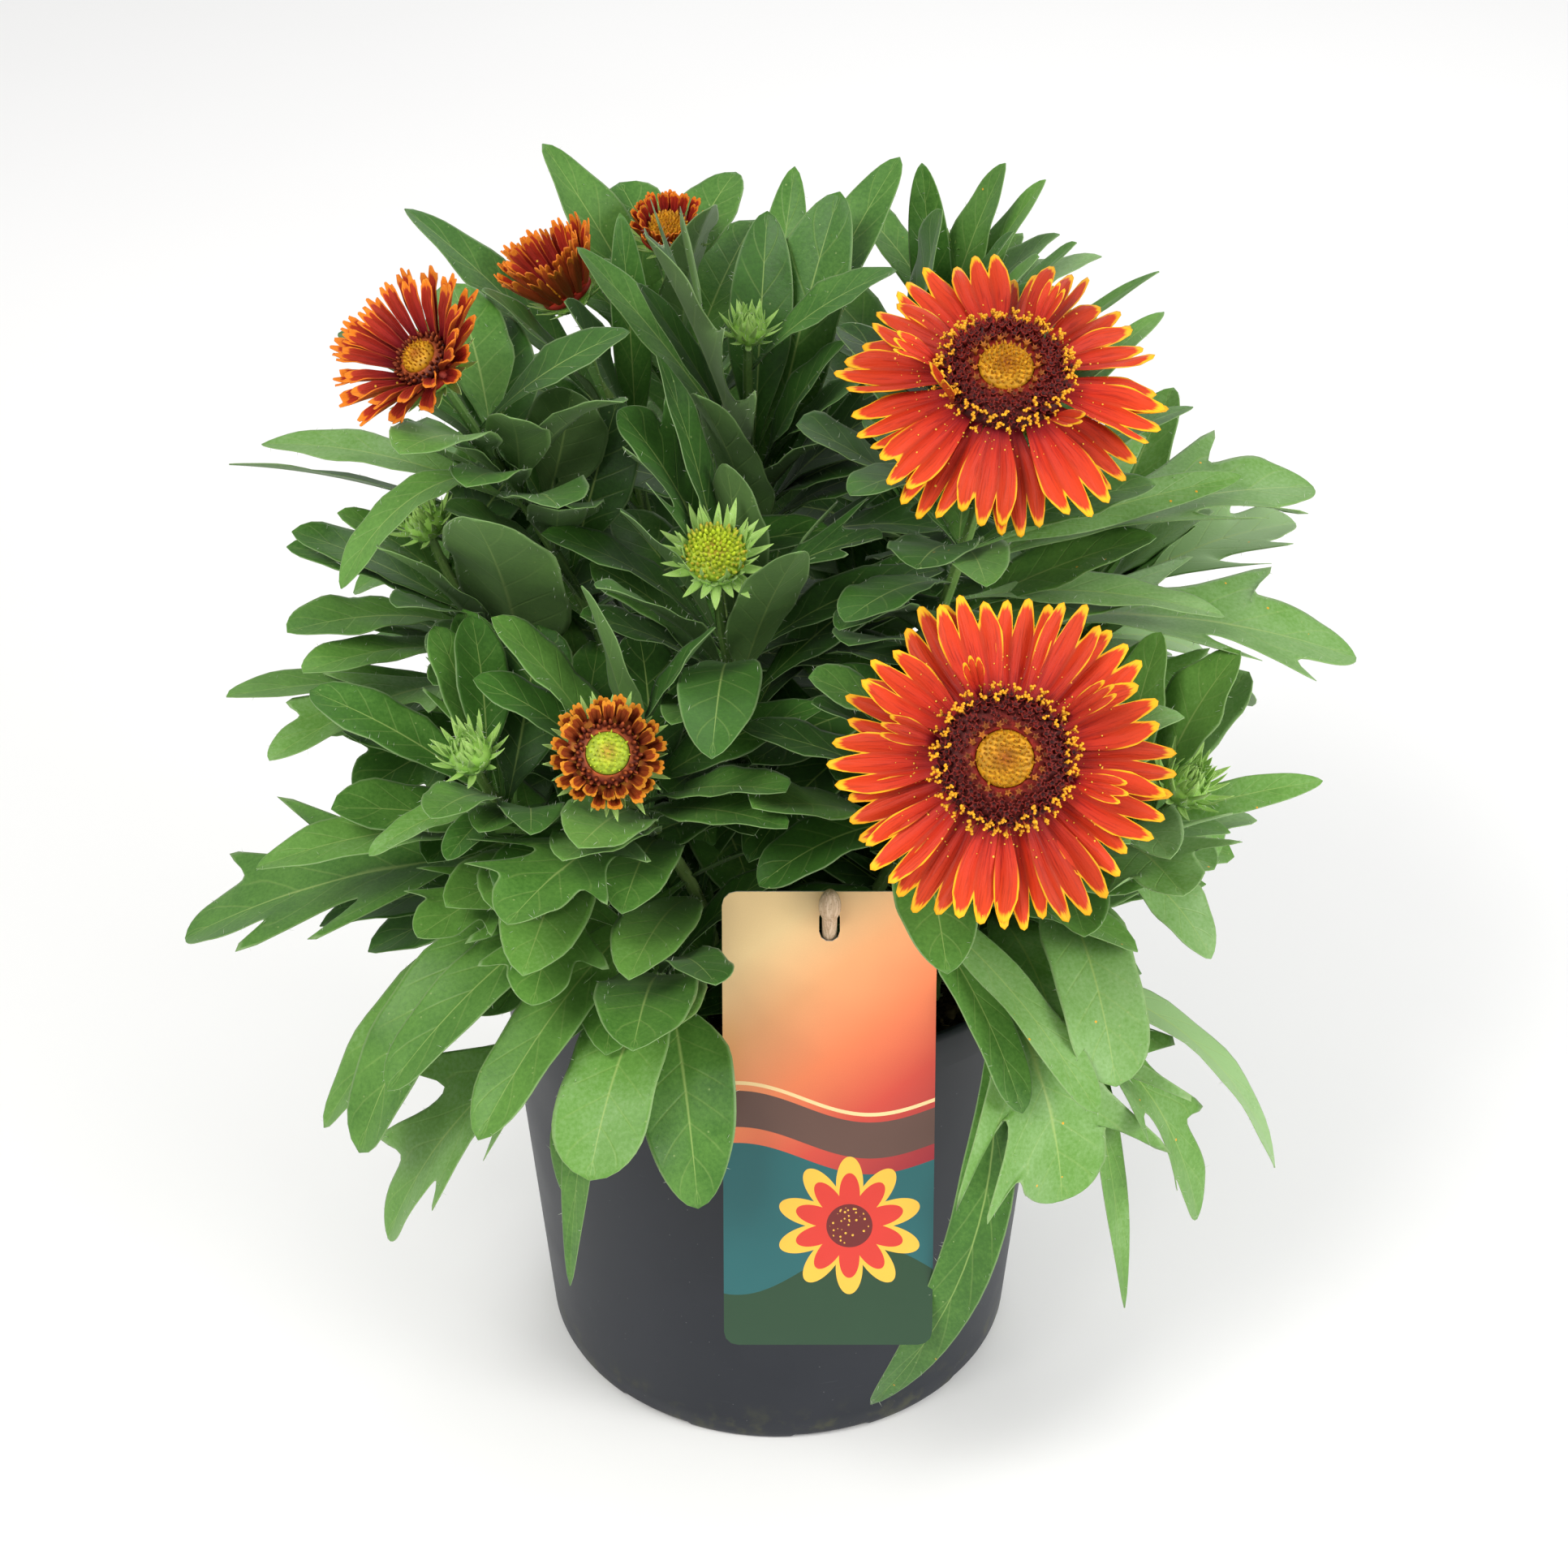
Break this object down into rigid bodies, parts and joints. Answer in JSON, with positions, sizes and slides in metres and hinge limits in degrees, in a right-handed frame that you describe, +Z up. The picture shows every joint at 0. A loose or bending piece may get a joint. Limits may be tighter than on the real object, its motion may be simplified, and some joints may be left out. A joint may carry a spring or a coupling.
{
  "type": "potted plant",
  "caption": "Potted blanket flower with red and orange blooms, buds and leafy stems in a dark nursery pot, with a printed care card on a wooden peg.",
  "frame": {"origin": "the middle of the underside of the pot", "axes": "+Z up along the pot's axis, -Y toward the front, where the care card hangs and the big blooms face, +X to the right as seen from the front"},
  "size_m": [0.3393, 0.3123, 0.3762],
  "materials": {
    "pot_plastic": "fine matt",
    "soil": "loose bark and fibre, matt",
    "printed_card": "printed, satin",
    "peg_wood": "raw",
    "leaf_green": "hairy leaf, satin",
    "ray_red": "petal, velvety",
    "ray_dark_red": "petal, velvety",
    "ray_brown": "petal, velvety",
    "disc_maroon": "florets, matt",
    "disc_gold": "florets, matt",
    "disc_lime": "florets, matt"
  },
  "bodies": {
    "root": {"pot": "pot_plastic", "soil": "soil", "care_card": "printed_card", "wooden_peg": "peg_wood", "bloom_a_rays": "ray_red", "bloom_a_disc": "disc_maroon", "bloom_a_centre": "disc_gold", "bloom_b_rays": "ray_red", "bloom_b_disc": "disc_maroon", "bloom_b_centre": "disc_gold", "bloom_c_rays": "ray_dark_red", "bloom_c_disc": "disc_maroon", "bloom_c_centre": "disc_gold", "bloom_f_rays": "ray_brown", "bloom_f_disc": "disc_maroon", "bloom_f_centre": "disc_lime", "bloom_d_rays": "ray_dark_red", "bloom_d_disc": "disc_gold", "bloom_e_rays": "ray_dark_red", "bloom_e_disc": "disc_gold", "bud_g_disc": "disc_lime", "leafy_stem_a": "leaf_green", "leafy_stem_b": "leaf_green", "leafy_stem_c": "leaf_green", "leafy_stem_d": "leaf_green", "leafy_stem_e": "leaf_green", "leafy_stem_f": "leaf_green", "leafy_stem_g": "leaf_green", "leafy_stem_h": "leaf_green", "leafy_stem_i": "leaf_green", "leafy_stem_j": "leaf_green", "leafy_stem_k": "leaf_green", "leafy_stem_l": "leaf_green", "leafy_stem_m": "leaf_green", "leafy_stem_n": "leaf_green", "leafy_stem_o": "leaf_green", "leafy_stem_p": "leaf_green", "leafy_stem_q": "leaf_green"}
  },
  "joints": []
}
